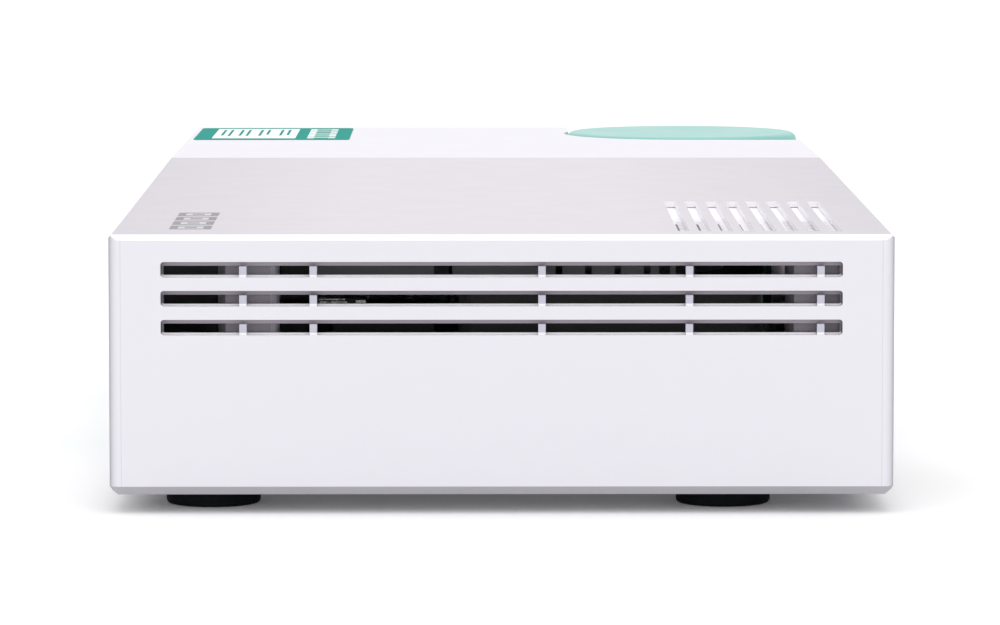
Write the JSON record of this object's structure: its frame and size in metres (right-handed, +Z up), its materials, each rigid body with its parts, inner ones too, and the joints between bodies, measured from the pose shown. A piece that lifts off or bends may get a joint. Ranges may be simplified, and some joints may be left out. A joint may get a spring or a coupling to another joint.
{
  "type": "network attached storage",
  "caption": "Low white desktop storage box with slide-in drive trays, slotted end wall, roof vents, round mint corner post and rubber feet.",
  "frame": {"origin": "middle of the footprint, on the floor under the rubber feet", "axes": "+X to the slotted end wall, along the length; -Y to the front with the drive trays; +Z up"},
  "size_m": [0.29, 0.127, 0.0476],
  "materials": {
    "shell_white": "fine satin texture",
    "tray_white": "fine satin texture",
    "mint_plastic": "soft satin",
    "label_film": "printed film",
    "foot_rubber": "matte",
    "screw_steel": "zinc plated",
    "cage_steel": "plated sheet",
    "port_steel": "nickel plated sheet",
    "board_green": "solder mask",
    "drive_case": "satin",
    "chip_black": "moulded epoxy",
    "sink_alloy": "anodised",
    "can_alloy": "bare can",
    "choke_grey": "pressed ferrite",
    "cell_steel": "polished",
    "holder_cream": "plain",
    "jack_black": "plain",
    "blower_black": "fine texture",
    "motor_copper": "wound wire",
    "duct_grey": "plain",
    "screen_white": "woven screen",
    "base_grey": "fine spark texture",
    "light_pipe": "clear moulded",
    "button_grey": "satin",
    "cable_grey": "ribbed ribbon"
  },
  "bodies": {
    "chassis": {"top_shell": "shell_white", "front_bezel": "shell_white", "rear_panel": "shell_white", "base_plate": "base_grey", "corner_post": "mint_plastic", "top_label": "label_film", "rubber_feet": "foot_rubber", "case_screws": "screw_steel", "drive_cage": "cage_steel", "cage_screws": "screw_steel", "backplane": "board_green", "drive_sockets": "chip_black", "main_board": "board_green", "board_screws": "screw_steel", "processor": "chip_black", "heat_sink": "sink_alloy", "sink_clip": "screw_steel", "memory_chips": "chip_black", "power_inductors": "choke_grey", "capacitors": "can_alloy", "coin_cell": "cell_steel", "cell_holder": "holder_cream", "lan_ports": "port_steel", "rear_usb_port": "port_steel", "dc_jack": "jack_black", "reset_switch": "chip_black", "blower_housing": "blower_black", "blower_lid": "blower_black", "blower_motor": "motor_copper", "air_guide": "duct_grey", "dust_screen": "screen_white", "front_board": "board_green", "front_usb_port": "port_steel", "power_switch": "chip_black", "copy_switch": "chip_black", "status_lights": "light_pipe", "front_cable": "cable_grey", "drive_cable": "cable_grey"},
    "drawer_1": {"tray_1": "tray_white", "drive_1": "drive_case"},
    "lever_1": {"tray_lever_1": "mint_plastic"},
    "drawer_2": {"tray_2": "tray_white", "drive_2": "drive_case"},
    "lever_2": {"tray_lever_2": "mint_plastic"},
    "drawer_3": {"tray_3": "tray_white", "drive_3": "drive_case"},
    "lever_3": {"tray_lever_3": "mint_plastic"},
    "drawer_4": {"tray_4": "tray_white", "drive_4": "drive_case"},
    "lever_4": {"tray_lever_4": "mint_plastic"},
    "power_button": {"power_button": "button_grey"},
    "copy_button": {"copy_button": "mint_plastic"},
    "reset_button": {"reset_button": "button_grey"},
    "rotor": {"blower_rotor": "blower_black"}
  },
  "joints": [
    {"name": "tray_slide_1", "type": "slide", "parent": "chassis", "child": "drawer_1", "axis": [0, -1, 0], "range_m": [0, 0.104]},
    {"name": "lever_hinge_1", "type": "hinge", "parent": "drawer_1", "child": "lever_1", "pos_m": [-0.018, -0.062, 0.015], "axis": [0, 0, 1], "range_deg": [0, 75]},
    {"name": "tray_slide_2", "type": "slide", "parent": "chassis", "child": "drawer_2", "axis": [0, -1, 0], "range_m": [0, 0.104]},
    {"name": "lever_hinge_2", "type": "hinge", "parent": "drawer_2", "child": "lever_2", "pos_m": [0.058, -0.062, 0.015], "axis": [0, 0, 1], "range_deg": [0, 75]},
    {"name": "tray_slide_3", "type": "slide", "parent": "chassis", "child": "drawer_3", "axis": [0, -1, 0], "range_m": [0, 0.104]},
    {"name": "lever_hinge_3", "type": "hinge", "parent": "drawer_3", "child": "lever_3", "pos_m": [-0.018, -0.062, 0.0315], "axis": [0, 0, 1], "range_deg": [0, 75]},
    {"name": "tray_slide_4", "type": "slide", "parent": "chassis", "child": "drawer_4", "axis": [0, -1, 0], "range_m": [0, 0.104]},
    {"name": "lever_hinge_4", "type": "hinge", "parent": "drawer_4", "child": "lever_4", "pos_m": [0.058, -0.062, 0.0315], "axis": [0, 0, 1], "range_deg": [0, 75]},
    {"name": "power_button_press", "type": "slide", "parent": "chassis", "child": "power_button", "axis": [0, 1, 0], "range_m": [0, 0.001], "stiffness_N_per_m": 250},
    {"name": "copy_button_press", "type": "slide", "parent": "chassis", "child": "copy_button", "axis": [0, 1, 0], "range_m": [0, 0.001], "stiffness_N_per_m": 250},
    {"name": "reset_button_press", "type": "slide", "parent": "chassis", "child": "reset_button", "axis": [0, -1, 0], "range_m": [0, 0.0007], "stiffness_N_per_m": 250},
    {"name": "blower_spin", "type": "hinge", "parent": "chassis", "child": "rotor", "pos_m": [0.106, 0.018, 0.03], "axis": [0, 0, 1], "continuous": true}
  ]
}
